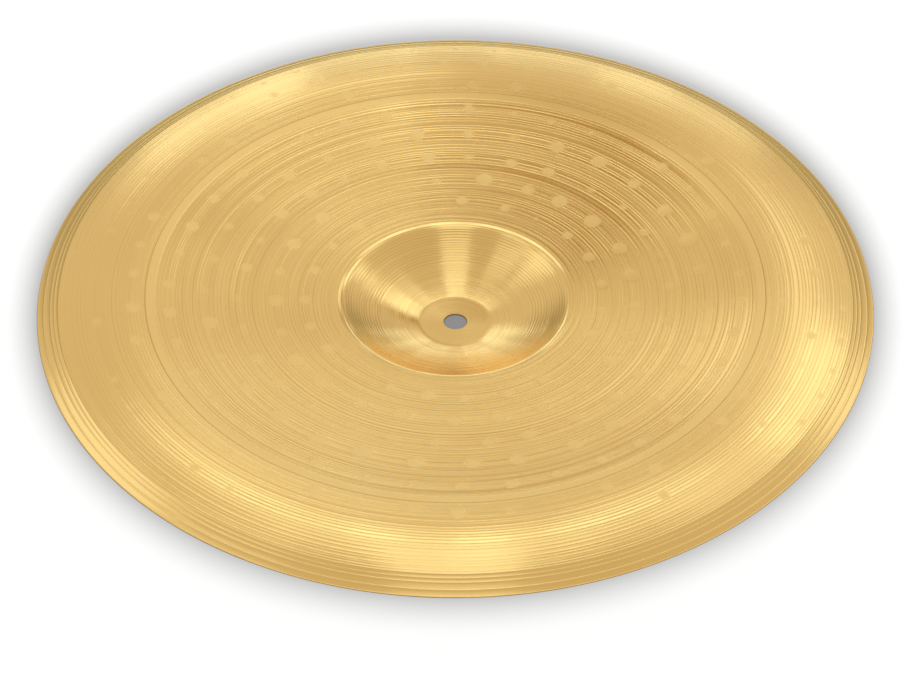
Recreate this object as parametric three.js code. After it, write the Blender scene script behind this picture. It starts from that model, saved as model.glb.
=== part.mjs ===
import * as THREE from 'three';

// China cymbal: one round sheet of brass, pressed, hammered and turned, with its bell downwards.
// Millimetres, +Z up. The origin is on the axis, at the underside of the flat boss that it stands on.
// The inner face is the hollow side, which looks up, and the outer face is offset from it.

// Driving sizes across the plate
const plateDiameter = 457.2;
const holeDiameter = 12.7;
const bossDiameter = 40;
const bellDiameter = 125.8;
const flangeWidth = 58.6;

// Driving heights of the inner face
const bellDepth = 17.5;
const bellSag = 1.8;
const bowRise = 11.9;
const bowSag = 2.2;
const flangeDrop = 1.8;

// Thickness of the sheet, which thins from the bell to the edge
const bellThickness = 1.3;
const bowThickness = 1.1;
const edgeThickness = 0.8;

// Roundings, measured from the sharp corner along each side of it
const holeEase = 0.25;
const bossRounding = 1.4;
const creaseRounding = 3.5;

// Slopes at which the flange rises from the break, comes down to the lip, and the lip comes down to
// the edge, and how far each end of the flange keeps its slope, as shares of the flange's width
const breakSlopeDegrees = 8.5;
const flangeSlopeDegrees = 10;
const lipSlopeDegrees = 21;
const flangeStartShare = 0.25;
const flangeEndShare = 0.5;

// Flutes turned in the lip, the last stretch of the flange: the narrow ones first, then the wide
// ones out to the edge
const narrowFluteCount = 2;
const narrowFluteWidth = 2.15;
const wideFluteCount = 2;
const wideFluteWidth = 3.7;
const fluteDepth = 0.2;

// How finely the round shapes are cut into flats
const turnSteps = 80;
const roundingSteps = 3;
const bellSteps = 5;
const bowSteps = 6;
const flangeSteps = 9;
const edgeSteps = 3;

// Radii and heights that follow from the driving sizes. The rim is where the inner face meets the
// rounded edge, which stands out past it to the full diameter.
const breakSlope = THREE.MathUtils.degToRad(breakSlopeDegrees);
const flangeSlope = THREE.MathUtils.degToRad(flangeSlopeDegrees);
const lipSlope = THREE.MathUtils.degToRad(lipSlopeDegrees);
const holeRadius = holeDiameter / 2;
const bossRadius = bossDiameter / 2;
const bellRadius = bellDiameter / 2;
const rimRadius = plateDiameter / 2 - edgeThickness / 2 * (1 - Math.sin(lipSlope));
const lipWidth = narrowFluteCount * narrowFluteWidth + wideFluteCount * wideFluteWidth;
const lipRadius = plateDiameter / 2 - lipWidth;
const breakRadius = plateDiameter / 2 - flangeWidth;
const creaseHeight = bellThickness + bellDepth;
const breakHeight = creaseHeight + bowRise;
const lipHeight = breakHeight - flangeDrop;
const rimHeight = lipHeight - (rimRadius - lipRadius) * Math.tan(lipSlope);

// Corners of the inner face, as points of radius and height
const holeCorner = new THREE.Vector2(holeRadius, bellThickness);
const bossCorner = new THREE.Vector2(bossRadius, bellThickness);
const creaseCorner = new THREE.Vector2(bellRadius, creaseHeight);
const breakCorner = new THREE.Vector2(breakRadius, breakHeight);
const lipCorner = new THREE.Vector2(lipRadius, lipHeight);
const rimCorner = new THREE.Vector2(rimRadius, rimHeight);

// The point that lies a length away from one point, on the way to another
function towards(from, to, length) {
  const direction = to.clone().sub(from).normalize();
  return from.clone().addScaledVector(direction, length);
}

// The control point of an arc that hangs between two points: it lies below the middle of the chord
// by twice the sag
function hangingControlPoint(from, to, sag) {
  const control = from.clone().lerp(to, 1 / 2);
  control.y -= 2 * sag;
  return control;
}

// The flange rises from the break, turns over its crest and comes down to the lip, which is bent on
function flangeCurve() {
  const width = lipRadius - breakRadius;
  const rising = new THREE.Vector2(Math.cos(breakSlope), Math.sin(breakSlope));
  const leaving = breakCorner.clone().addScaledVector(rising, width * flangeStartShare);
  const falling = new THREE.Vector2(Math.cos(flangeSlope), -Math.sin(flangeSlope));
  const arriving = lipCorner.clone().addScaledVector(falling, -width * flangeEndShare);
  return new THREE.CubicBezierCurve(breakCorner, leaving, arriving, lipCorner);
}

// The smooth inner face from the hole to the lip, as curves with the number of flats in each
function innerStretches() {
  const bellControl = hangingControlPoint(bossCorner, creaseCorner, bellSag);
  const bowControl = hangingControlPoint(creaseCorner, breakCorner, bowSag);
  const faceStart = towards(holeCorner, bossCorner, holeEase);
  const bossStart = towards(bossCorner, holeCorner, bossRounding);
  const bossEnd = towards(bossCorner, bellControl, bossRounding);
  const creaseStart = towards(creaseCorner, bellControl, creaseRounding);
  const creaseEnd = towards(creaseCorner, bowControl, creaseRounding);
  return [
    { curve: new THREE.LineCurve(faceStart, bossStart), steps: 1 },
    { curve: new THREE.QuadraticBezierCurve(bossStart, bossCorner, bossEnd), steps: roundingSteps },
    { curve: new THREE.QuadraticBezierCurve(bossEnd, bellControl, creaseStart), steps: bellSteps },
    { curve: new THREE.QuadraticBezierCurve(creaseStart, creaseCorner, creaseEnd), steps: roundingSteps },
    { curve: new THREE.QuadraticBezierCurve(creaseEnd, bowControl, breakCorner), steps: bowSteps },
    { curve: flangeCurve(), steps: flangeSteps },
  ];
}

// The points of the smooth inner face, each one once
function innerPoints() {
  const points = [];
  for (const { curve, steps } of innerStretches()) {
    const stretch = curve.getPoints(steps);
    points.push(...stretch.slice(points.length === 0 ? 0 : 1));
  }
  return points;
}

// The lip's inner face: a row of flutes, each one a valley and the crest beyond it, the last crest
// being the rim
function flutedLipPoints() {
  const narrow = new Array(narrowFluteCount).fill(narrowFluteWidth);
  const wide = new Array(wideFluteCount).fill(wideFluteWidth);
  const down = sheetNormal(lipCorner, rimCorner).multiplyScalar(fluteDepth);
  const points = [];
  let crossed = 0;
  for (const width of [...narrow, ...wide]) {
    const valley = lipCorner.clone().lerp(rimCorner, (crossed + width / 2) / lipWidth);
    crossed += width;
    const crest = lipCorner.clone().lerp(rimCorner, crossed / lipWidth);
    points.push(valley.add(down), crest);
  }
  return points;
}

// The unit vector square to a stretch of the inner face, pointing into the sheet
function sheetNormal(start, end) {
  const along = end.clone().sub(start).normalize();
  return new THREE.Vector2(along.y, -along.x);
}

// The sheet's thickness at a radius
function thicknessAt(radius) {
  const { clamp, mapLinear } = THREE.MathUtils;
  if (radius < breakRadius) {
    const bowRadius = clamp(radius, bellRadius, breakRadius);
    return mapLinear(bowRadius, bellRadius, breakRadius, bellThickness, bowThickness);
  }
  return mapLinear(radius, breakRadius, rimRadius, bowThickness, edgeThickness);
}

// The outer face: each point of the inner face moved square to the sheet by its thickness
function outerPoints(inner) {
  const last = inner.length - 1;
  return inner.map((point, index) => {
    const arriving = sheetNormal(inner[Math.max(index - 1, 0)], inner[Math.max(index, 1)]);
    const leaving = sheetNormal(inner[Math.min(index, last - 1)], inner[Math.min(index + 1, last)]);
    const mitre = arriving.clone().add(leaving).normalize();
    return point.clone().addScaledVector(mitre, thicknessAt(point.x) / mitre.dot(arriving));
  });
}

// The rounded edge from the outer face up to the inner one, without its end points
function edgePoints(outer, inner) {
  const centre = outer.clone().lerp(inner, 1 / 2);
  const points = [];
  for (let step = 1; step < edgeSteps; step += 1) {
    points.push(outer.clone().rotateAround(centre, Math.PI * step / edgeSteps));
  }
  return points;
}

// The wall of the centre hole between its two small chamfers, from the inner face down
function holePoints() {
  const bottom = new THREE.Vector2(holeRadius, holeEase);
  const top = towards(holeCorner, bottom, holeEase);
  return [top, bottom];
}

// The closed section of the sheet: out along the outer face, back along the inner one
function sheetSection() {
  const smooth = innerPoints();
  const outer = outerPoints([...smooth, rimCorner]);
  const inner = [...smooth, ...flutedLipPoints()];
  const edge = edgePoints(outer[outer.length - 1], rimCorner);
  return [...outer, ...edge, ...inner.reverse(), ...holePoints(), outer[0]];
}

// The plate is the section turned about the axis, which the lathe takes as Y
function cymbalPlate() {
  const geometry = new THREE.LatheGeometry(sheetSection(), turnSteps);
  geometry.rotateX(Math.PI / 2);
  const brass = new THREE.MeshStandardMaterial({ color: 0xd8b063, roughness: 0.3, metalness: 1 });
  const plate = new THREE.Mesh(geometry, brass);
  plate.name = 'cymbal_plate';
  return plate;
}

const chinaCymbal = new THREE.Group();
chinaCymbal.name = 'china_cymbal';
chinaCymbal.add(cymbalPlate());

export default chinaCymbal;
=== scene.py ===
"""Looks of a china cymbal: one round sheet of brass, pressed, hammered and turned, lying on its bell.

Sizes in the classes are millimetres, and meshes are made in metres in the CAD frame: +Z runs up the plate's
axis, and the origin is under the flat boss that the plate stands on. The inner face is the hollow side, which
looks up, and the outer face is the side that looks down. The sheet is one piece in the solid. Its surface is
meshed here in five rings, each closed, which meet at the crest of a groove or at a crease, so that each ring
can be as fine as its grooves and hammer marks need.
"""
import logging
import math
from dataclasses import dataclass, field
from enum import Enum

import bpy
import numpy as np
from mathutils import Euler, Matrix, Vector


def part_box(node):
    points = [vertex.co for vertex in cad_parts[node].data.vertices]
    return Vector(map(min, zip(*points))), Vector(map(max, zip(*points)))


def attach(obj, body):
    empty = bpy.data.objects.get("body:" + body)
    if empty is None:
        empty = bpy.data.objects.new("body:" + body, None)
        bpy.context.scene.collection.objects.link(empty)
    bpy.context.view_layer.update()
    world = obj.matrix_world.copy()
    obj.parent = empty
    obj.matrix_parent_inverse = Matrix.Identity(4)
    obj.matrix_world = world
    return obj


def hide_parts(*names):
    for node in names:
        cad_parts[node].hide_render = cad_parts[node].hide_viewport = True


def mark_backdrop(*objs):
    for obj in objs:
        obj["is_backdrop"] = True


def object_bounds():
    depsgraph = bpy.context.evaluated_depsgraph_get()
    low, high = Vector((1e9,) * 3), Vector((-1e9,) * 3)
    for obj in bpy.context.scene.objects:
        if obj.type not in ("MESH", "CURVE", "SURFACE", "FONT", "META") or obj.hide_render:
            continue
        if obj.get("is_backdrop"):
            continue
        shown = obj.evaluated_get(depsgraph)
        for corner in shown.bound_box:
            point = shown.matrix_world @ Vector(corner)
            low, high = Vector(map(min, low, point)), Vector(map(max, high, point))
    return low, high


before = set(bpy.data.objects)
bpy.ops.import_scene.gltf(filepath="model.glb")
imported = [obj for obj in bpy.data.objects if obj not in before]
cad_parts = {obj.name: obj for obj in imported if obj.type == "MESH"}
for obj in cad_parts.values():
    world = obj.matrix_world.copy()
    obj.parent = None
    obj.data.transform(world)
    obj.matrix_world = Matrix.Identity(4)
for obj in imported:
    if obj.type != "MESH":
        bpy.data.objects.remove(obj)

CAD_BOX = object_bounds()
CAD_NODE = "cymbal_plate"
BODY = "root"
MM = 0.001
FULL_TURN = 2 * math.pi
HALF_A_BOUNCE = 0.5
ROUND_FLATNESS = 2
SCALLOP_SHARES = (0.0, 0.25, 0.5, 0.75)
FLAT_FLOOR_SHARES = (0.0, 0.1, 0.24, 0.5, 0.76, 0.9)
FLUTE_SHARES = (0.0, 0.04, 0.1, 0.22, 0.5, 0.78, 0.9, 0.96)
SCORE_SHARES = (1.0, 0.75, 0.5, 0.25, 0.0)
SCORE_DEPTH_SHARES = (0.0, 0.6, 1.0, 0.6, 0.0)

log = logging.getLogger("china_cymbal")


def bezier(controls: list[tuple[float, float]], steps: int = 120) -> np.ndarray:
    """Samples a Bezier curve: each point is the mean of the controls, weighted by their Bernstein shares.

    Args:
        controls: two to four control points, each a radius and a height.
        steps: how many equal steps of the parameter to take.

    Returns:
        An array of steps + 1 points.
    """
    along = np.linspace(0.0, 1.0, steps + 1)[:, None]
    degree = len(controls) - 1
    points = np.zeros((steps + 1, 2))
    for order, control in enumerate(controls):
        share = math.comb(degree, order) * along**order * (1 - along) ** (degree - order)
        points += share * np.asarray(control)
    return points


def smooth_step(low: float, high: float, value: np.ndarray) -> np.ndarray:
    """Rises from 0 at low to 1 at high along the cubic 3 t^2 - 2 t^3, and is flat outside."""
    share = np.clip((value - low) / (high - low), 0.0, 1.0)
    return share * share * (3 - 2 * share)


@dataclass(frozen=True)
class SheetProfile:
    """The smooth section of the sheet, which the solid of the frame has too, before grooves and marks."""

    plate_radius: float
    hole_radius: float = 6.35
    boss_radius: float = 20.0
    bell_radius: float = 62.9
    flange_width: float = 58.6
    lip_width: float = 11.7
    bell_depth: float = 17.5
    bell_sag: float = 1.8
    bow_rise: float = 11.9
    bow_sag: float = 2.2
    flange_drop: float = 1.8
    bell_thickness: float = 1.3
    bow_thickness: float = 1.1
    edge_thickness: float = 0.8
    hole_ease: float = 0.25
    boss_rounding: float = 1.4
    crease_rounding: float = 3.5
    break_slope_degrees: float = 8.5
    flange_slope_degrees: float = 10.0
    lip_slope_degrees: float = 21.0
    flange_start_share: float = 0.25
    flange_end_share: float = 0.5

    @property
    def lip_slope(self) -> float:
        """The lip's fall, in radians."""
        return math.radians(self.lip_slope_degrees)

    @property
    def break_radius(self) -> float:
        """The radius of the crease between the bow and the flange."""
        return self.plate_radius - self.flange_width

    @property
    def lip_radius(self) -> float:
        """The radius where the fluted lip begins."""
        return self.plate_radius - self.lip_width

    @property
    def rim_radius(self) -> float:
        """The radius where the inner face meets the rounded edge."""
        return self.plate_radius - self.edge_thickness / 2 * (1 - math.sin(self.lip_slope))

    def corners(self) -> dict[str, np.ndarray]:
        """Gives the named corners of the inner face.

        Returns:
            Each corner's radius and height, by name.
        """
        crease = self.bell_thickness + self.bell_depth
        ridge = crease + self.bow_rise
        lip = ridge - self.flange_drop
        rim = lip - (self.rim_radius - self.lip_radius) * math.tan(self.lip_slope)
        return {
            "hole": np.array([self.hole_radius, self.bell_thickness]),
            "boss": np.array([self.boss_radius, self.bell_thickness]),
            "crease": np.array([self.bell_radius, crease]),
            "break": np.array([self.break_radius, ridge]),
            "lip": np.array([self.lip_radius, lip]),
            "rim": np.array([self.rim_radius, rim]),
        }

    def outline(self) -> np.ndarray:
        """Gives the inner face from the hole to the rim.

        Stretches follow one another: the flat boss, its rounding, the bell's wall as a hanging arc, the
        rounded crease, the bow as another hanging arc, the flange over its crest, the straight lip.

        Returns:
            Points of radius and height, in order of radius.
        """
        at = self.corners()
        bell = (at["boss"] + at["crease"]) / 2 - [0.0, 2 * self.bell_sag]
        bow = (at["crease"] + at["break"]) / 2 - [0.0, 2 * self.bow_sag]

        def towards(start: np.ndarray, goal: np.ndarray, length: float) -> np.ndarray:
            """The point a length away from start, on the way to goal."""
            return start + (goal - start) / np.linalg.norm(goal - start) * length

        boss_start = towards(at["boss"], at["hole"], self.boss_rounding)
        boss_end = towards(at["boss"], bell, self.boss_rounding)
        crease_start = towards(at["crease"], bell, self.crease_rounding)
        crease_end = towards(at["crease"], bow, self.crease_rounding)
        width = self.lip_radius - self.break_radius
        up, down = math.radians(self.break_slope_degrees), math.radians(self.flange_slope_degrees)
        leaving = at["break"] + np.array([math.cos(up), math.sin(up)]) * width * self.flange_start_share
        arriving = at["lip"] + np.array([-math.cos(down), math.sin(down)]) * width * self.flange_end_share
        stretches = [
            bezier([at["hole"], boss_start]),
            bezier([boss_start, at["boss"], boss_end]),
            bezier([boss_end, bell, crease_start]),
            bezier([crease_start, at["crease"], crease_end]),
            bezier([crease_end, bow, at["break"]]),
            bezier([at["break"], leaving, arriving, at["lip"]]),
            bezier([at["lip"], at["rim"]]),
        ]
        return np.vstack([stretches[0], *(stretch[1:] for stretch in stretches[1:])])

    def thickness(self, radius: np.ndarray) -> np.ndarray:
        """The sheet's thickness, which falls in straight lines from the bell to the break and to the rim."""
        radii = [self.bell_radius, self.break_radius, self.rim_radius]
        return np.interp(radius, radii, [self.bell_thickness, self.bow_thickness, self.edge_thickness])

    def inner(self, radius: np.ndarray) -> np.ndarray:
        """The smooth inner face at these radii, as points of radius and height."""
        outline = self.outline()
        return np.stack([radius, np.interp(radius, outline[:, 0], outline[:, 1])], axis=-1)

    def outer(self, radius: np.ndarray) -> np.ndarray:
        """Gives the smooth outer face under these points of the inner face.

        Each point is the inner one moved square to the sheet by the sheet's thickness.

        Args:
            radius: radii on the inner face.

        Returns:
            Points of radius and height on the outer face.
        """
        step = self.edge_thickness / 4
        ahead = self.inner(np.minimum(radius + step, self.rim_radius))
        behind = self.inner(np.maximum(radius - step, self.hole_radius))
        along = (ahead - behind) / np.linalg.norm(ahead - behind, axis=1, keepdims=True)
        into = np.stack([along[:, 1], -along[:, 0]], axis=-1)
        return self.inner(radius) + into * self.thickness(radius)[:, None]


@dataclass(frozen=True)
class HammerRow:
    """One ring of hammer marks: shallow round dents in the inner face, struck before the plate was turned.

    The shifts are the spread of the marks' places, along the ring as a share of their spacing and across it
    as a share of their width. The sizes and weights are the least and the most of each mark's own factor.
    """

    radius: float
    count: int
    across: float
    along: float
    depth: float
    first_degrees: float
    shift_along_share: float = 0.06
    shift_across_share: float = 0.07
    size_shares: tuple[float, float] = (0.85, 1.12)
    weight_shares: tuple[float, float] = (0.2, 1.1)
    floor_share: float = 0.15

    def dent(self, radius: np.ndarray, angle: np.ndarray, chance: np.random.Generator) -> np.ndarray:
        """Gives how deep the row's marks are.

        A mark is a shallow bowl: with q the distance from its middle in units of its half size, it is at full
        depth out to the floor share and rises to the surface at q = 1 on a smooth step. Each mark is shifted,
        sized and sunk a little by chance, as a hammer does.

        Args:
            radius: the rings' radii, as a column.
            angle: the angles round the plate, as a row.
            chance: the seeded source of the marks' differences.

        Returns:
            The depths in millimetres, on the grid of rings and angles.
        """
        spacing = FULL_TURN / self.count
        turned = (angle - math.radians(self.first_degrees)) / spacing
        mark = np.floor(turned + 0.5).astype(int) % self.count
        shift_along = chance.normal(0.0, self.shift_along_share, self.count) * spacing
        shift_out = chance.normal(0.0, self.shift_across_share, self.count) * self.across
        size = chance.uniform(*self.size_shares, self.count)
        weight = chance.uniform(*self.weight_shares, self.count)
        offset = (turned - np.floor(turned + 0.5)) * spacing - shift_along[mark]
        sideways = self.radius * offset / (self.along / 2 * size[mark])
        outwards = (radius - self.radius - shift_out[mark]) / (self.across / 2 * size[mark])
        bowl = 1 - smooth_step(self.floor_share, 1.0, np.hypot(sideways, outwards))
        return self.depth * weight[mark] * bowl


@dataclass(frozen=True)
class HammerWork:
    """All the rings of hammer marks.

    Each row has its radius, its number of marks, their width across the ring, their length along it, their
    depth and the angle of the first one.
    """

    rows: tuple[HammerRow, ...] = (
        HammerRow(81.2, 23, 10.0, 10.5, 0.09, 8.0),
        HammerRow(99.3, 25, 13.0, 13.5, 0.11, 9.5),
        HammerRow(118.5, 30, 9.5, 12.0, 0.08, 2.0),
        HammerRow(136.5, 31, 13.0, 13.5, 0.11, 6.0),
        HammerRow(155.7, 39, 10.0, 10.5, 0.09, 3.7),
        HammerRow(177.6, 43, 11.5, 12.0, 0.09, 2.6),
        HammerRow(196.4, 48, 9.5, 10.5, 0.06, 2.0),
        HammerRow(212.1, 56, 6.5, 8.0, 0.045, 0.0),
    )
    seed: int = 41

    def dents(self, radius: np.ndarray, angle: np.ndarray) -> np.ndarray:
        """Gives the depth of the deepest mark at each point of a grid of rings and angles.

        Args:
            radius: the rings' radii.
            angle: the angles round the plate.

        Returns:
            The depths in millimetres.
        """
        depth = np.zeros((len(radius), len(angle)))
        for index, row in enumerate(self.rows):
            chance = np.random.default_rng(self.seed + index)
            depth = np.maximum(depth, row.dent(radius[:, None], angle[None, :], chance))
        return depth


@dataclass
class Rings:
    """Rings of the surface, each one a circle of points round the axis, from the bell side outwards.

    The cut is how deep the tool went in millimetres, turned is how strongly it marked the metal from 0 to 1,
    sharp says which rings are sharp corners, groove numbers the groove that each ring belongs to, and the
    painted line shade is up to 1 where a dark line of painted shade lies, on the crests and in the score at
    the break, standing in for the shading of the fine relief.
    """

    radius: np.ndarray
    cut: np.ndarray
    turned: np.ndarray
    sharp: np.ndarray
    groove: np.ndarray
    burr: np.ndarray

    @staticmethod
    def plain(radii: np.ndarray, turned: float = 0.0) -> "Rings":
        """Rings at these radii that have no groove."""
        zero = np.zeros(len(radii))
        return Rings(np.asarray(radii, float), zero, zero + turned, zero.astype(bool), zero.astype(int), zero)

    @staticmethod
    def joined(parts: "list[Rings]") -> "Rings":
        """One set of rings out of several."""
        names = ("radius", "cut", "turned", "sharp", "groove", "burr")
        return Rings(*(np.concatenate([getattr(part, name) for part in parts]) for name in names))


@dataclass(frozen=True)
class LatheTool:
    """How a hand-held lathe tool works the plate.

    The pitch is the usual width of its grooves, and the unevenness is how much the widths differ. The lean is
    the most that one crest stands above the next, which tilts the floor between them. The flatness is 2 for a
    round scallop and more for a flat floor between narrow crests. The painted line shade is the most painted
    shade that a crest gets: a dark line that stands in for the shading of the fine relief.
    """

    pitch: float
    depth: float
    lean: float
    unevenness: float
    flatness: int
    burr: float = 1.0


@dataclass(frozen=True)
class LatheGrooves:
    """Grooves that a tool left side by side between two radii, each one different.

    The pressures are the least and the most that a groove is marked, the painted line shades the least and
    the most of a crest's share of the tool's painted line shade, and the crest share says how near a crest
    that painted shade reaches.
    """

    start: float
    end: float
    tool: LatheTool
    seed: int
    pressures: tuple[float, float] = (0.6, 1.0)
    painted_line_shades: tuple[float, float] = (0.2, 1.0)
    crest_share: float = 0.05

    def rings(self) -> Rings:
        """Gives the rings that draw the grooves.

        The widths are the pitch times e to a seeded normal number, scaled to fill the stretch, and the crests
        between the grooves stand at seeded levels c. Across a groove, with t from 0 to 1 and u = 2 t - 1, the
        cut is (1 - t) c1 + t c2 + d (1 - |u|^p) for the depth d and the flatness p. The rings stand closer
        together towards the crests.

        Returns:
            The rings from the start up to, and without, the end.
        """
        chance = np.random.default_rng(self.seed)
        tool = self.tool
        count = max(1, round((self.end - self.start) / tool.pitch))
        widths = np.exp(chance.normal(0.0, tool.unevenness, count))
        widths *= (self.end - self.start) / widths.sum()
        inner_crest = self.start + np.concatenate([[0.0], np.cumsum(widths)[:-1]])
        level = chance.uniform(0.0, tool.lean, count + 1)
        share = np.array(SCALLOP_SHARES if tool.flatness <= ROUND_FLATNESS else FLAT_FLOOR_SHARES)[None, :]
        radius = inner_crest[:, None] + widths[:, None] * share
        crests = level[:-1, None] * (1 - share) + level[1:, None] * share
        cut = crests + tool.depth * (1 - np.abs(2 * share - 1) ** tool.flatness)
        turned = np.repeat(chance.uniform(*self.pressures, count), share.size)
        groove = np.repeat(np.arange(count), share.size)
        crest = np.tile(np.arange(share.size) == 0, count)
        # Painted shade: a dark line on each crest, of seeded strength, stands in for the shading of the fine
        # relief.
        burr = np.tile(tool.burr * (np.minimum(share, 1 - share) < self.crest_share), (count, 1))
        burr = burr * chance.uniform(*self.painted_line_shades, (count, 1))
        return Rings(radius.ravel(), cut.ravel(), turned, crest, groove, burr.ravel())


@dataclass(frozen=True)
class LipFlutes:
    """The flutes turned in the lip: narrow ones next to the flange, wide ones out to the edge."""

    start: float
    widths: tuple[float, ...] = (2.15, 2.15, 3.7, 3.7)
    depth: float = 0.2
    flatness: int = 6
    pressure: float = 0.6

    def rings(self) -> Rings:
        """Gives the rings of the flutes.

        Each flute's cut is d (1 - |u|^p) for the depth d, the flatness p and u from -1 to 1 across it: a flat
        floor between soft ridges, which catch the light as thin lines.

        Returns:
            The rings from the start up to, and without, the rim.
        """
        parts = []
        inner_crest = self.start
        share = np.array(FLUTE_SHARES)
        cut = self.depth * (1 - np.abs(2 * share - 1) ** self.flatness)
        turned = np.full(share.size, self.pressure)
        soft = np.zeros(share.size, bool)
        for number, width in enumerate(self.widths):
            groove = np.full(share.size, number)
            parts.append(Rings(inner_crest + width * share, cut, turned, soft, groove, 0 * cut))
            inner_crest += width
        return Rings.joined(parts)


class Zone(Enum):
    """The rings that the sheet is meshed in, from the hole to the edge.

    Each one has its piece's name, its steps round the axis and the number of rings of its outer face.
    """

    BELL = ("bell", 384, 56)
    INNER_BOW = ("inner_bow", 512, 36)
    OUTER_BOW = ("outer_bow", 560, 24)
    FLANGE = ("flange", 720, 24)
    LIP = ("lip", 720, 24)

    def __init__(self, piece: str, turns: int, outer_rings: int) -> None:
        """Takes the zone's values apart."""
        self.piece = piece
        self.turns = turns
        self.outer_rings = outer_rings


def no_points() -> np.ndarray:
    """No points between the outer and the inner face at an end of a ring."""
    return np.zeros((0, 2))


@dataclass
class PlateRing:
    """One ring of the sheet, closed on all sides: its inner face, its outer face and the walls between.

    The lightness is how much of its cut the tool leaves out over a dent. The skin starts to show where a dent
    is deeper than the spared depth and is whole deeper by the blend. The swells and their waves are the
    strengths and the least and most waves of the slow and the quick change round the plate.
    """

    zone: Zone
    profile: SheetProfile
    hammer: HammerWork
    inner: Rings
    end_wall: np.ndarray = field(default_factory=no_points)
    start_wall: np.ndarray = field(default_factory=no_points)
    lightness: float = 0.6
    spared: float = 0.014
    blend: float = 0.03
    slow_swell: float = 0.25
    quick_swell: float = 0.12
    slow_waves: tuple[int, int] = (1, 3)
    quick_waves: tuple[int, int] = (5, 13)

    def section(self) -> tuple[np.ndarray, Rings]:
        """Gives the ring's closed section, out along the outer face and back along the inner one.

        Returns:
            The section's points of radius and height, and the tool's work at each of them.
        """
        inner = self.inner
        backwards = Rings(*(values[::-1] for values in vars(inner).values()))
        outer = Rings.plain(np.linspace(inner.radius[0], inner.radius[-1], self.zone.outer_rings), 1.0)
        end, start = Rings.plain(self.end_wall[:, 0]), Rings.plain(self.start_wall[:, 0])
        points = np.vstack(
            [
                self.profile.outer(outer.radius),
                self.end_wall,
                self.profile.inner(backwards.radius),
                self.start_wall,
            ]
        )
        work = Rings.joined([outer, end, backwards, start])
        first_inner = len(outer.radius) + len(end.radius)
        last_inner = first_inner + len(inner.radius) - 1
        work.sharp[[0, len(outer.radius) - 1, first_inner, last_inner]] = True
        return points, work

    def swell(self, work: Rings, angle: np.ndarray) -> np.ndarray:
        """Gives how each groove deepens and fades round the plate, because the hammered sheet isn't even.

        The factor is 1 + s sin(k a + p) + t sin(m a + q) for the slow swell s and the quick swell t, where
        each groove has its own whole numbers of waves k and m and its own starts p and q.

        Args:
            work: the tool's work along the section.
            angle: the angles round the plate.

        Returns:
            The factors, on the grid of rings and angles.
        """
        chance = np.random.default_rng(len(angle))
        count = work.groove.max() + 1
        slow = chance.integers(*self.slow_waves, count, endpoint=True)
        quick = chance.integers(*self.quick_waves, count, endpoint=True)
        starts = chance.uniform(0.0, FULL_TURN, (2, count))
        one = np.sin(slow[work.groove][:, None] * angle + starts[0][work.groove][:, None])
        other = np.sin(quick[work.groove][:, None] * angle + starts[1][work.groove][:, None])
        return 1 + self.slow_swell * one + self.quick_swell * other

    def build(self) -> bpy.types.Object:
        """Makes the ring's mesh: the section carried round the axis, struck by the hammer, then cut.

        The sheet springs under the tool, so that the grooves run down into a dent, but there the tool only
        grazes the sheet, which keeps a share s of its own skin. A point of the surface is
        (r cos a, r sin a, z - dent - (1 - l s) cut) for the lightness l of the tool's touch. Here r and z run
        along the section and a round the axis.

        Returns:
            The ring's object, at the origin.
        """
        points, work = self.section()
        angle = np.arange(self.zone.turns) * FULL_TURN / self.zone.turns
        cut = work.cut[:, None] * self.swell(work, angle)
        dent = self.hammer.dents(points[:, 0], angle)
        skin = smooth_step(self.spared, self.spared + self.blend, dent)
        depth = dent + cut * (1 - self.lightness * skin)
        height = points[:, 1][:, None] - depth
        radius = points[:, 0][:, None]
        grid = np.stack([radius * np.cos(angle), radius * np.sin(angle), height], axis=-1) * MM
        # Painted shade: the dark lines on the crests and in the score, left off where the skin shows in the
        # marks.
        finish = {"lathe_lines": work.turned[:, None] * (1 - skin), "burr": work.burr[:, None] * (1 - skin)}
        return closed_grid(self.zone.piece, grid, points, finish, work.sharp)


def closed_grid(
    name: str, grid: np.ndarray, section: np.ndarray, finish: dict[str, np.ndarray], sharp: np.ndarray
) -> bpy.types.Object:
    """Makes a mesh of a grid that closes on itself both ways, along the section and round the axis.

    Args:
        name: the object's name.
        grid: points in metres, by place in the section and step round the axis.
        section: the section's points, whose spacing sets the map's scale along the section.
        finish: values from 0 to 1 at each point, by the name of the attribute that carries them.
        sharp: which places in the section are sharp corners.

    Returns:
        The object, smooth but for its sharp corners, with its attributes and its map.
    """
    rows, columns = grid.shape[:2]
    row = np.arange(rows)[:, None]
    column = np.arange(columns)[None, :]
    next_row, next_column = (row + 1) % rows, (column + 1) % columns
    faces = np.stack(
        [
            row * columns + column,
            row * columns + next_column,
            next_row * columns + next_column,
            next_row * columns + column,
        ],
        axis=-1,
    )[:, :, ::-1].reshape(-1, 4)
    mesh = bpy.data.meshes.new(name)
    mesh.from_pydata(grid.reshape(-1, 3), [], faces)
    mesh.polygons.foreach_set("use_smooth", np.ones(len(faces), bool))
    for attribute, values in finish.items():
        strength = mesh.attributes.new(attribute, "FLOAT", "POINT")
        strength.data.foreach_set("value", values.astype(np.float32).ravel())
    mark_sharp_rings(mesh, columns, sharp)
    add_ring_map(mesh, section, rows, columns)
    mesh.update()
    piece = bpy.data.objects.new(name, mesh)
    bpy.context.scene.collection.objects.link(piece)
    return piece


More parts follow.
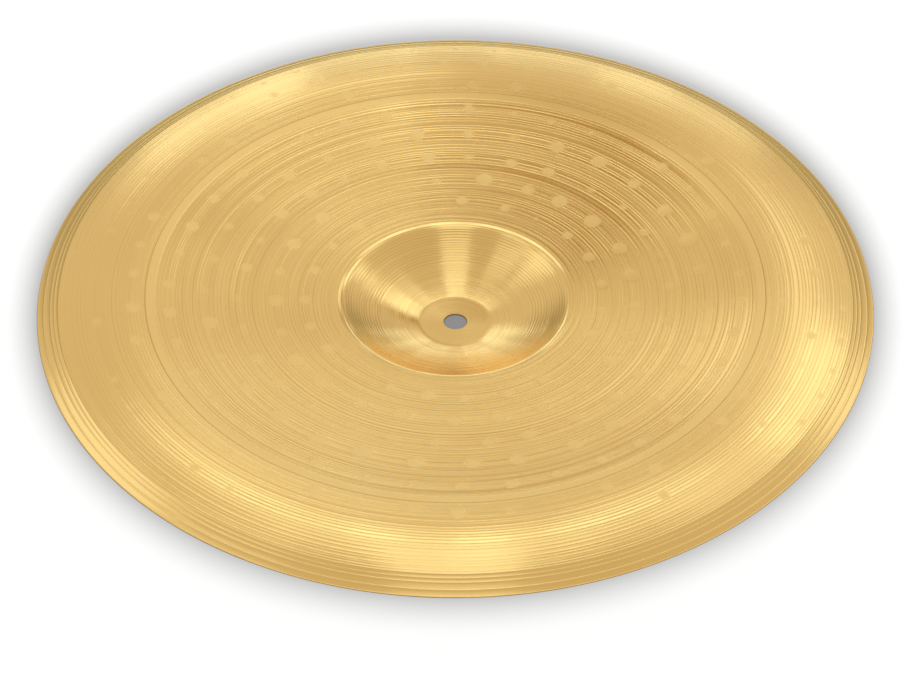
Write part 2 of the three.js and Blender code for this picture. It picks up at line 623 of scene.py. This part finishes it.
def mark_sharp_rings(mesh: bpy.types.Mesh, columns: int, sharp: np.ndarray) -> None:
    """Marks the edges that run round the axis at the section's sharp corners.

    Args:
        mesh: a mesh of closed_grid.
        columns: how many steps the mesh has round the axis.
        sharp: which places in the section are sharp corners.
    """
    ends = np.zeros(len(mesh.edges) * 2, np.int32)
    mesh.edges.foreach_get("vertices", ends)
    rings = ends.reshape(-1, 2) // columns
    flags = (rings[:, 0] == rings[:, 1]) & sharp[rings[:, 0]]
    attribute = mesh.attributes.get("sharp_edge") or mesh.attributes.new("sharp_edge", "BOOLEAN", "EDGE")
    attribute.data.foreach_set("value", flags)


def add_ring_map(mesh: bpy.types.Mesh, section: np.ndarray, rows: int, columns: int) -> None:
    """Lays the ring out flat for baking: across is the way round the axis, up is the length of the section.

    Args:
        mesh: a mesh of closed_grid, whose faces are in order of row and then column.
        section: the section's points.
        rows: how many places the section has.
        columns: how many steps the mesh has round the axis.
    """
    steps = np.linalg.norm(np.roll(section, -1, axis=0) - section, axis=1)
    length = np.concatenate([[0.0], np.cumsum(steps)]) / steps.sum()
    row = np.arange(rows)[:, None]
    column = np.arange(columns)[None, :]
    across = np.stack([column, column + 1, column + 1, column], axis=-1) / columns + 0 * row[..., None]
    low, high = length[row], length[row + 1]
    up = np.stack([low, low, high, high], axis=-1) + 0 * column[..., None]
    places = np.stack([across, up], axis=-1)[:, :, ::-1]
    layer = mesh.uv_layers.new(name="OFBake")
    layer.data.foreach_set("uv", places.astype(np.float32).ravel())


@dataclass
class Cymbal:
    """The whole plate, as five closed rings that meet each other.

    The tools are named for the stretches that they turned. The stretches are numbered from the hole to the
    edge, and each one's chance is seeded by the seed and its number.
    """

    profile: SheetProfile
    hammer: HammerWork
    # Each tool's painted line shade, 1 where it isn't given, sets how dark the painted shade on its crests
    # is.
    boss_tool: LatheTool = LatheTool(1.2, depth=0.0015, lean=0.0, unevenness=0.1, flatness=2, burr=0.1)
    cup_tool: LatheTool = LatheTool(1.05, depth=0.016, lean=0.004, unevenness=0.1, flatness=2, burr=0.4)
    mouth_tool: LatheTool = LatheTool(1.45, depth=0.04, lean=0.01, unevenness=0.12, flatness=2, burr=0.4)
    bow_tool: LatheTool = LatheTool(2.0, depth=0.045, lean=0.036, unevenness=0.25, flatness=4)
    flange_tool: LatheTool = LatheTool(1.8, depth=0.04, lean=0.032, unevenness=0.22, flatness=4, burr=0.5)
    edge_tool: LatheTool = LatheTool(1.8, depth=0.03, lean=0.024, unevenness=0.22, flatness=4, burr=0.3)
    seed: int = 10
    bow_joint: float = 118.5
    flange_joint: float = 199.0
    land_width: float = 5.6
    land_rings: int = 7
    score_width: float = 1.0
    score_depth: float = 0.09
    edge_steps: int = 6

    def grooves(self, number: int, start: float, end: float, tool: LatheTool) -> Rings:
        """The rings of the grooves of one stretch, without its end."""
        return LatheGrooves(start, end, tool, self.seed + number).rings()

    def bell(self) -> PlateRing:
        """Gives the bell: the boss round the hole, the cup's wall and the rounded crease at its mouth."""
        shape = self.profile
        start = shape.hole_radius + shape.hole_ease
        end = shape.bell_radius + shape.crease_rounding
        middle = (shape.boss_radius + shape.bell_radius) / 2
        boss = self.grooves(0, start, shape.boss_radius, self.boss_tool)
        cup = self.grooves(1, shape.boss_radius, middle, self.cup_tool)
        mouth = self.grooves(2, middle, end, self.mouth_tool)
        inner = Rings.joined([boss, cup, mouth, Rings.plain([end])])
        top, bottom = shape.bell_thickness - shape.hole_ease, shape.hole_ease
        wall = np.array([[shape.hole_radius, top], [shape.hole_radius, bottom]])
        return PlateRing(Zone.BELL, shape, self.hammer, inner, start_wall=wall)

    def inner_bow(self) -> PlateRing:
        """Gives the inner half of the bow, the broad dished ring."""
        start = self.profile.bell_radius + self.profile.crease_rounding
        grooves = self.grooves(3, start, self.bow_joint, self.bow_tool)
        inner = Rings.joined([grooves, Rings.plain([self.bow_joint])])
        return PlateRing(Zone.INNER_BOW, self.profile, self.hammer, inner)

    def outer_bow(self) -> PlateRing:
        """Gives the outer half of the bow, with a smooth land and a fine line scored at the break."""
        end = self.profile.break_radius
        land = end - self.land_width
        grooves = self.grooves(4, self.bow_joint, land, self.bow_tool)
        score = Rings.plain(end - self.score_width * np.array(SCORE_SHARES))
        score.cut = self.score_depth * np.array(SCORE_DEPTH_SHARES)
        # Painted shade: the scored line is painted darker towards its deepest middle, as shade in the score.
        score.burr = np.array(SCORE_DEPTH_SHARES)
        plain = Rings.plain(np.linspace(land, end - self.score_width, self.land_rings, endpoint=False))
        inner = Rings.joined([grooves, plain, score])
        return PlateRing(Zone.OUTER_BOW, self.profile, self.hammer, inner)

    def flange(self) -> PlateRing:
        """Gives the inner part of the flange, from the break over its crest."""
        grooves = self.grooves(5, self.profile.break_radius, self.flange_joint, self.flange_tool)
        inner = Rings.joined([grooves, Rings.plain([self.flange_joint])])
        return PlateRing(Zone.FLANGE, self.profile, self.hammer, inner)

    def lip(self) -> PlateRing:
        """Gives the outer part of the flange, down to the fluted lip and its rounded edge."""
        shape = self.profile
        grooves = self.grooves(6, self.flange_joint, shape.lip_radius, self.edge_tool)
        flutes = LipFlutes(shape.lip_radius)
        inner = Rings.joined([grooves, flutes.rings(), Rings.plain([shape.rim_radius])])
        rim = np.array([shape.rim_radius])
        under, over = shape.outer(rim)[0], shape.inner(rim)[0]
        turn = np.linspace(0.0, math.pi, self.edge_steps + 1)[1:-1]
        middle, spoke = (under + over) / 2, (under - over) / 2
        square = np.array([-spoke[1], spoke[0]])
        edge = middle + np.outer(np.cos(turn), spoke) + np.outer(np.sin(turn), square)
        return PlateRing(Zone.LIP, shape, self.hammer, inner, end_wall=edge)

    def dress(self, finish: bpy.types.Material) -> list[bpy.types.Object]:
        """Builds the rings, gives them their finish and fixes them to the frame.

        Args:
            finish: the brass.

        Returns:
            The rings' objects.
        """
        pieces = []
        for ring in (self.bell(), self.inner_bow(), self.outer_bow(), self.flange(), self.lip()):
            piece = ring.build()
            piece.data.materials.append(finish)
            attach(piece, BODY)
            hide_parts(CAD_NODE)
            log.info("%s: %d faces, riding on %s", piece.name, len(piece.data.polygons), BODY)
            pieces.append(piece)
        return pieces


def linear(hex_colour: str) -> tuple[float, float, float, float]:
    """Turns an sRGB hex value such as #F2C76E into linear red, green, blue and full alpha."""
    shares = [int(hex_colour[place:place + 2], 16) / 255 for place in (1, 3, 5)]
    return (*(s / 12.92 if s <= 0.04045 else ((s + 0.055) / 1.055) ** 2.4 for s in shares), 1.0)


def add_node(
    tree: bpy.types.NodeTree, kind: str, sockets: dict | None = None, **settings: object
) -> bpy.types.Node:
    """Adds a node to a tree.

    Args:
        tree: the material's or world's node tree.
        kind: the node's type name.
        sockets: for each input, by name or number, a value or the output that feeds it.
        settings: the node's own properties.

    Returns:
        The node.
    """
    node = tree.nodes.new(kind)
    for name, value in settings.items():
        setattr(node, name, value)
    for name, value in (sockets or {}).items():
        if isinstance(value, bpy.types.NodeSocket):
            tree.links.new(value, node.inputs[name])
        else:
            node.inputs[name].default_value = value
    return node


def sum_node(tree: bpy.types.NodeTree, operation: str, *values: object) -> bpy.types.NodeSocket:
    """Adds a node that works out one number, and gives its result.

    Args:
        tree: the node tree.
        operation: the sum that it does.
        values: its inputs in order, each a number or the output that feeds it.

    Returns:
        The result's socket.
    """
    return add_node(tree, "ShaderNodeMath", dict(enumerate(values)), operation=operation).outputs[0]


def vector_node(tree: bpy.types.NodeTree, operation: str, *values: object) -> bpy.types.NodeOutputs:
    """Adds a node that works on vectors, as sum_node does on numbers, and gives all its outputs."""
    return add_node(tree, "ShaderNodeVectorMath", dict(enumerate(values)), operation=operation).outputs


@dataclass(frozen=True)
class TurnedBrass:
    """Yellow brass sheet, pressed, hammered and then turned on a lathe.

    The tool leaves fine rings all over, so a light is drawn out across them into a bright sector that runs
    from the middle to the edge. In the hammer marks, which the tool only grazed, and on the land at the break
    the sheet keeps its satin rolled skin, which shows an even tone in any light.
    """

    name: str = "turned_brass"
    pale: str = "#FBD98D"
    deep: str = "#F5CD7C"
    # Painted shade: the dark brown of the lines on the crests and in the score, which stand in for the
    # shading of the fine relief.
    painted_line_shade_colour: str = "#A87832"
    painted_line_shade_strength: float = 0.55
    turned_roughness: float = 0.14
    skin_roughness: float = 0.3
    roughness_spread: float = 0.02
    anisotropy: float = 0.75
    across_the_rings: float = 0.25
    line_pitch: float = 0.8
    line_depth: float = 0.004
    wander: float = 0.5
    wander_size: float = 60.0
    patch_size: float = 40.0

    def build(self) -> bpy.types.Material:
        """Makes the material.

        The height of the fine lines is a one-dimensional noise of the distance from the axis, over the line
        pitch; a slow noise over the plate moves the lines in and out by the wander.

        Returns:
            The material.
        """
        material = bpy.data.materials.new(self.name)
        material.use_nodes = True
        tree = material.node_tree
        tree.nodes.clear()
        place = add_node(tree, "ShaderNodeTexCoord").outputs["Object"]
        turned = add_node(tree, "ShaderNodeAttribute", attribute_name="lathe_lines").outputs["Fac"]
        lines = self.lines(tree, place)
        bump = add_node(
            tree,
            "ShaderNodeBump",
            {"Height": lines, "Strength": turned, "Distance": self.line_depth * MM},
        )
        patches = add_node(tree, "ShaderNodeTexNoise", {"Vector": place, "Scale": 1 / (self.patch_size * MM)})
        mixed = sum_node(tree, "MULTIPLY", lines, patches.outputs["Fac"])
        tone = add_node(
            tree,
            "ShaderNodeMix",
            {"Factor": mixed, "A": linear(self.pale), "B": linear(self.deep)},
            data_type="RGBA",
        )
        # Painted shade: the dark brown is mixed in along the painted line shade attribute, on the crests and
        # in the score.
        burr = add_node(tree, "ShaderNodeAttribute", attribute_name="burr").outputs["Fac"]
        painted_line_shade_share = sum_node(tree, "MULTIPLY", burr, self.painted_line_shade_strength)
        colour = add_node(
            tree,
            "ShaderNodeMix",
            {"Factor": painted_line_shade_share, "A": tone.outputs["Result"], "B": linear(self.painted_line_shade_colour)},
            data_type="RGBA",
        )
        cut = add_node(
            tree,
            "ShaderNodeMapRange",
            {
                "Value": lines,
                "To Min": self.turned_roughness - self.roughness_spread,
                "To Max": self.turned_roughness + self.roughness_spread,
            },
        )
        gloss = add_node(
            tree,
            "ShaderNodeMapRange",
            {"Value": turned, "To Min": self.skin_roughness, "To Max": cut.outputs["Result"]},
        )
        grain = add_node(tree, "ShaderNodeTangent", direction_type="RADIAL", axis="Z")
        shader = add_node(
            tree,
            "ShaderNodeBsdfPrincipled",
            {
                "Base Color": colour.outputs["Result"],
                "Metallic": 1.0,
                "Roughness": gloss.outputs["Result"],
                "Anisotropic": self.anisotropy,
                "Anisotropic Rotation": self.across_the_rings,
                "Normal": bump.outputs["Normal"],
                "Tangent": grain.outputs["Tangent"],
            },
        )
        add_node(tree, "ShaderNodeOutputMaterial", {"Surface": shader.outputs["BSDF"]})
        return material

    def lines(self, tree: bpy.types.NodeTree, place: bpy.types.NodeSocket) -> bpy.types.NodeSocket:
        """Adds the nodes of the fine lathe lines.

        Args:
            tree: the material's node tree.
            place: the object coordinates.

        Returns:
            The lines' height, from 0 to 1.
        """
        flat = vector_node(tree, "MULTIPLY", place, (1.0, 1.0, 0.0))[0]
        distance = vector_node(tree, "LENGTH", flat)["Value"]
        drift = add_node(tree, "ShaderNodeTexNoise", {"Vector": place, "Scale": 1 / (self.wander_size * MM)})
        moved = sum_node(tree, "MULTIPLY_ADD", drift.outputs["Fac"], self.wander * MM, distance)
        rings = add_node(
            tree,
            "ShaderNodeTexNoise",
            {"W": moved, "Scale": 1 / (self.line_pitch * MM), "Detail": 1.0, "Roughness": 0.5},
            noise_dimensions="1D",
        )
        return rings.outputs["Fac"]


@dataclass(frozen=True)
class Softbox:
    """A square studio lamp, aimed at the plate from an azimuth and an elevation.

    Azimuth 0 is behind the plate as the camera sees it, along +Y, and 90 is to the right, along +X.
    """

    name: str
    azimuth: float
    elevation: float
    watts: float
    side: float
    tint: str = "#DAECFF"
    distance: float = 1800.0

    def build(self, target: Vector) -> bpy.types.Object:
        """Hangs the lamp.

        Args:
            target: the point that it looks at, in metres.

        Returns:
            The lamp's object.
        """
        lamp = bpy.data.lights.new(self.name, "AREA")
        lamp.shape = "SQUARE"
        lamp.size = self.side * MM
        lamp.energy = self.watts
        lamp.color = linear(self.tint)[:3]
        holder = bpy.data.objects.new(self.name, lamp)
        turn, rise = math.radians(self.azimuth), math.radians(self.elevation)
        away = Vector((math.sin(turn) * math.cos(rise), math.cos(turn) * math.cos(rise), math.sin(rise)))
        holder.location = target + away * self.distance * MM
        holder.rotation_euler = away.to_track_quat("Z", "Y").to_euler()
        bpy.context.scene.collection.objects.link(holder)
        return holder


@dataclass(frozen=True)
class SoftboxArc:
    """An arc of equal softboxes, each in the place that a leaning spot of the plate mirrors the camera to.

    All the spots lean by the same number of degrees. The angles are the ways that they lean, counted round
    the axis from +X.
    """

    name: str
    lean: float
    first_angle: float
    last_angle: float
    count: int
    watts: float
    side: float

    def softboxes(self, camera_elevation: float) -> list[Softbox]:
        """Gives the arc's lamps.

        A spot that leans by t the way a has the normal n = (sin t cos a, sin t sin a, cos t). With v towards
        the camera, it mirrors the camera to 2 (n . v) n - v.

        Args:
            camera_elevation: how far the camera stands above the plate, in degrees.

        Returns:
            The lamps, evenly spaced by angle.
        """
        height = math.radians(camera_elevation)
        view = Vector((0.0, -math.cos(height), math.sin(height)))
        lean = math.radians(self.lean)
        boxes = []
        angles = np.radians(np.linspace(self.first_angle, self.last_angle, self.count))
        for number, angle in enumerate(angles):
            across = math.sin(lean)
            normal = Vector((across * math.cos(angle), across * math.sin(angle), math.cos(lean)))
            way = 2 * normal.dot(view) * normal - view
            azimuth, elevation = math.degrees(math.atan2(way.x, way.y)), math.degrees(math.asin(way.z))
            boxes.append(Softbox(f"{self.name}_{number + 1}", azimuth, elevation, self.watts, self.side))
        return boxes


@dataclass(frozen=True)
class Studio:
    """The pale floor, the brown card, the dome, the lamps and the camera, which aren't part of the cymbal."""

    lamps: tuple[Softbox, ...] = (
        Softbox("left", -70.0, 42.0, 1.25, 850.0),
        Softbox("high_left", -65.0, 65.0, 0.25, 420.0),
        Softbox("right", 60.0, 35.0, 0.5, 500.0),
        Softbox("inner_right", 32.0, 45.0, 0.4, 360.0),
        Softbox("high_right", 36.0, 55.0, 0.15, 360.0),
        Softbox("back", -5.0, 35.0, 0.12, 240.0),
        Softbox("back_left", -15.0, 27.0, 0.2, 360.0),
        Softbox("back_right", 18.0, 40.0, 0.15, 300.0),
        Softbox("top", 0.0, 75.0, 0.3, 360.0),
        Softbox("overhead", 0.0, 90.0, 0.3, 420.0),
    )
    arcs: tuple[SoftboxArc, ...] = (
        SoftboxArc("far_arc", 16.0, 36.0, 144.0, 6, 0.25, 360.0),
        SoftboxArc("near_arc", 10.0, 216.0, 312.0, 5, 0.21, 300.0),
    )
    dome: tuple[tuple[float, str], ...] = (
        (0.0, "#E0E4BC"),
        (0.2, "#A09484"),
        (0.5, "#E0D8D0"),
        (1.0, "#D0C4B4"),
    )
    floor_side: float = 12000.0
    floor_paint: str = "#5C5C5C"
    floor_glow: str = "#FAFAFA"
    mirrored_glow: str = "#6C6C6C"
    # Painted shadow: a soft darkening of the floor's glow round the plate, painted on the floor.
    painted_shadow_middle: tuple[float, float] = (0.0, 29.7)
    painted_shadow_gap: float = 5.6
    painted_shadow_stretch: float = 1.483
    painted_shadow_width: float = 18.4
    painted_shadow_depth: float = 0.47
    painted_shadow_power: float = 1.6
    # Painted shade: within this radius of the axis the glow is cut down to the share below, on the floor
    # under the hole.
    hole_shade_radius: float = 15.0
    hole_shade_glow: float = 0.4
    card_paint: str = "#A37E49"
    card_height: float = 200.0
    card_corners: tuple[tuple[float, float], ...] = (
        (54, 226),
        (112, 222),
        (88, 268),
        (-20, 272),
        (-20, 252),
    )
    camera_lens: float = 117.5
    camera_sensor: float = 36.0
    camera_sight: float = 100000.0
    camera_elevation: float = 42.39
    camera_roll: float = -0.126
    camera_distance: float = 1600.2
    camera_target: tuple[float, float, float] = (-0.5, -39.0, 24.3)

    def floor_material(self) -> bpy.types.Material:
        """Makes the floor's paint: matt paper that keeps the shadow and shows white in the picture.

        Camera and glass rays add a white glow to the lit paper, so that it reaches white in the open, and
        mirror rays add a dim one. Light that has bounced once already finds the paper black, so the brass
        doesn't tint its own shadow. The glow is cut down on a spot round the axis, as painted shade on the
        floor seen through the hole, and it fades towards the plate in a painted shadow that lies on the
        floor.

        Returns:
            The material.
        """
        material = bpy.data.materials.new("studio_paper")
        material.use_nodes = True
        tree = material.node_tree
        tree.nodes.clear()
        path = add_node(tree, "ShaderNodeLightPath").outputs
        first = sum_node(tree, "LESS_THAN", path["Diffuse Depth"], HALF_A_BOUNCE)
        colour = add_node(
            tree,
            "ShaderNodeVectorMath",
            {0: linear(self.floor_paint)[:3], "Scale": first},
            operation="SCALE",
        )
        paper = add_node(tree, "ShaderNodeBsdfDiffuse", {"Color": colour.outputs[0]})
        place = add_node(tree, "ShaderNodeTexCoord").outputs["Object"]
        # Painted shade: the glow is cut down near the axis, on the floor under the hole.
        in_the_open = sum_node(
            tree, "GREATER_THAN", vector_node(tree, "LENGTH", place)["Value"], self.hole_shade_radius * MM
        )
        most = sum_node(tree, "MAXIMUM", in_the_open, self.hole_shade_glow)
        # The painted shade under the hole and the painted shadow round the plate scale the glow together.
        shade = sum_node(tree, "MULTIPLY", most, self.painted_shadow(tree, place))
        seen = sum_node(tree, "MAXIMUM", path["Is Camera Ray"], path["Is Transmission Ray"])
        whole = paper.outputs[0]
        for rays, glow in ((seen, self.floor_glow), (path["Is Glossy Ray"], self.mirrored_glow)):
            level = sum_node(tree, "MULTIPLY", rays, shade)
            light = add_node(tree, "ShaderNodeEmission", {"Color": linear(glow), "Strength": level})
            whole = add_node(tree, "ShaderNodeAddShader", {0: whole, 1: light.outputs[0]}).outputs[0]
        add_node(tree, "ShaderNodeOutputMaterial", {"Surface": whole})
        return material

    def painted_shadow(self, tree: bpy.types.NodeTree, place: bpy.types.NodeSocket) -> bpy.types.NodeSocket:
        """Adds the nodes of the painted shadow: a soft darkening of the floor's glow, painted on the floor
        round the plate.

        The painted shadow is a circle wider than the plate by a gap. It is fixed on the floor, and its middle
        and its stretch are chosen so that it shows evenly round the plate from the photograph's side. With P
        the floor point counted from that middle, R the circle's radius and t the stretch, the distance from
        the circle is d = (|P| - R) |P| / |(Px, t Py)|, so the painted shadow is wider before and behind the
        plate than beside it. The glow is 1 - depth (1 - d / width)^power out to the painted shadow's width,
        and 1 beyond it.

        Args:
            tree: the material's node tree.
            place: the floor point, in metres.

        Returns:
            The share of the glow that is left.
        """
        right, back = self.painted_shadow_middle
        middle = (-right * MM, -back * MM, 0.0)
        counted = vector_node(tree, "MULTIPLY_ADD", place, (1.0, 1.0, 0.0), middle)[0]
        stretched = vector_node(tree, "MULTIPLY", counted, (1.0, self.painted_shadow_stretch, 0.0))[0]
        radius = vector_node(tree, "LENGTH", counted)["Value"]
        slope = vector_node(tree, "LENGTH", stretched)["Value"]
        past = sum_node(tree, "SUBTRACT", radius, CAD_BOX[1].x + self.painted_shadow_gap * MM)
        distance = sum_node(tree, "MULTIPLY", past, sum_node(tree, "DIVIDE", radius, slope))
        closeness = add_node(
            tree,
            "ShaderNodeMapRange",
            {"Value": distance, "From Max": self.painted_shadow_width * MM, "To Min": 1.0, "To Max": 0.0},
        )
        curved = sum_node(tree, "POWER", closeness.outputs["Result"], self.painted_shadow_power)
        return sum_node(tree, "MULTIPLY_ADD", curved, -self.painted_shadow_depth, 1.0)

    def camera_place(self) -> Vector:
        """The camera's place, in millimetres."""
        tilt = math.radians(90.0 - self.camera_elevation)
        back = Vector((0.0, -math.sin(tilt), math.cos(tilt)))
        return Vector(self.camera_target) + back * self.camera_distance

    def build_floor(self) -> bpy.types.Object:
        """Lays the floor under the boss, at height zero."""
        half = self.floor_side / 2 * MM
        mesh = bpy.data.meshes.new("studio_floor")
        corners = [(-half, -half, 0), (half, -half, 0), (half, half, 0), (-half, half, 0)]
        mesh.from_pydata(corners, [], [(0, 1, 2, 3)])
        floor = bpy.data.objects.new("studio_floor", mesh)
        floor.data.materials.append(self.floor_material())
        bpy.context.scene.collection.objects.link(floor)
        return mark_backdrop(floor)

    def build_card(self) -> bpy.types.Object:
        """Hangs a brown card over the back of the plate, which only the brass mirrors, as a darker sector."""
        paint = bpy.data.materials.new("studio_card")
        paint.use_nodes = True
        paint.node_tree.nodes.clear()
        glow = add_node(paint.node_tree, "ShaderNodeEmission", {"Color": linear(self.card_paint)})
        add_node(paint.node_tree, "ShaderNodeOutputMaterial", {"Surface": glow.outputs[0]})
        mesh = bpy.data.meshes.new("studio_card")
        corners = [(x * MM, y * MM, self.card_height * MM) for x, y in self.card_corners]
        mesh.from_pydata(corners, [], [tuple(range(len(corners)))])
        card = bpy.data.objects.new("studio_card", mesh)
        card.data.materials.append(paint)
        card.visible_camera = card.visible_shadow = card.visible_diffuse = False
        bpy.context.scene.collection.objects.link(card)
        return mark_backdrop(card)

    def build_dome(self) -> None:
        """Sets the light that comes from all round: a tint that depends on the height in the sky."""
        world = bpy.data.worlds.new("studio_dome")
        world.use_nodes = True
        tree = world.node_tree
        tree.nodes.clear()
        place = add_node(tree, "ShaderNodeTexCoord").outputs["Generated"]
        height = add_node(tree, "ShaderNodeSeparateXYZ", {0: place}).outputs["Z"]
        sky = add_node(tree, "ShaderNodeValToRGB", {"Fac": height})
        stops = sky.color_ramp.elements
        while len(stops) < len(self.dome):
            stops.new(self.dome[len(stops) - 1][0])
        for stop, (level, colour) in zip(stops, self.dome):
            stop.position = level
            stop.color = linear(colour)
        light = add_node(tree, "ShaderNodeBackground", {"Color": sky.outputs["Color"]})
        white = add_node(tree, "ShaderNodeBackground", {"Color": (1.0, 1.0, 1.0, 1.0), "Strength": 1.0})
        seen = add_node(tree, "ShaderNodeLightPath").outputs["Is Camera Ray"]
        pick = add_node(tree, "ShaderNodeMixShader", {0: seen, 1: light.outputs[0], 2: white.outputs[0]})
        add_node(tree, "ShaderNodeOutputWorld", {"Surface": pick.outputs[0]})
        bpy.context.scene.world = world

    def build_camera(self) -> bpy.types.Object:
        """Sets up the camera at the photograph's angle and makes it the scene's."""
        camera = bpy.data.cameras.new("camera")
        camera.lens = self.camera_lens
        camera.sensor_width = self.camera_sensor
        camera.sensor_fit = "HORIZONTAL"
        camera.clip_end = self.camera_sight * MM
        holder = bpy.data.objects.new("camera", camera)
        tilt = math.radians(90.0 - self.camera_elevation)
        holder.location = self.camera_place() * MM
        roll = Euler((0.0, 0.0, math.radians(self.camera_roll)))
        aim = Euler((tilt, 0.0, 0.0)).to_matrix() @ roll.to_matrix()
        holder.rotation_euler = aim.to_euler()
        bpy.context.scene.collection.objects.link(holder)
        bpy.context.scene.camera = holder
        return holder

    def build(self) -> None:
        """Sets up the floor, the card, the dome, the lamps and the camera, and the plain view settings."""
        self.build_floor()
        self.build_card()
        self.build_dome()
        target = Vector((0.0, 0.0, self.camera_target[2] * MM))
        in_arcs = [lamp for arc in self.arcs for lamp in arc.softboxes(self.camera_elevation)]
        for lamp in [*self.lamps, *in_arcs]:
            lamp.build(target)
        self.build_camera()
        bpy.context.scene.view_settings.view_transform = "Standard"


def main() -> None:
    """Builds the studio and the cymbal, and reports each piece."""
    logging.basicConfig(level=logging.INFO, format="%(name)s: %(message)s")
    Studio().build()
    low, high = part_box(CAD_NODE)
    profile = SheetProfile(plate_radius=(high.x - low.x) / 2 / MM)
    Cymbal(profile, HammerWork()).dress(TurnedBrass().build())


if __name__ == "__main__":
    main()
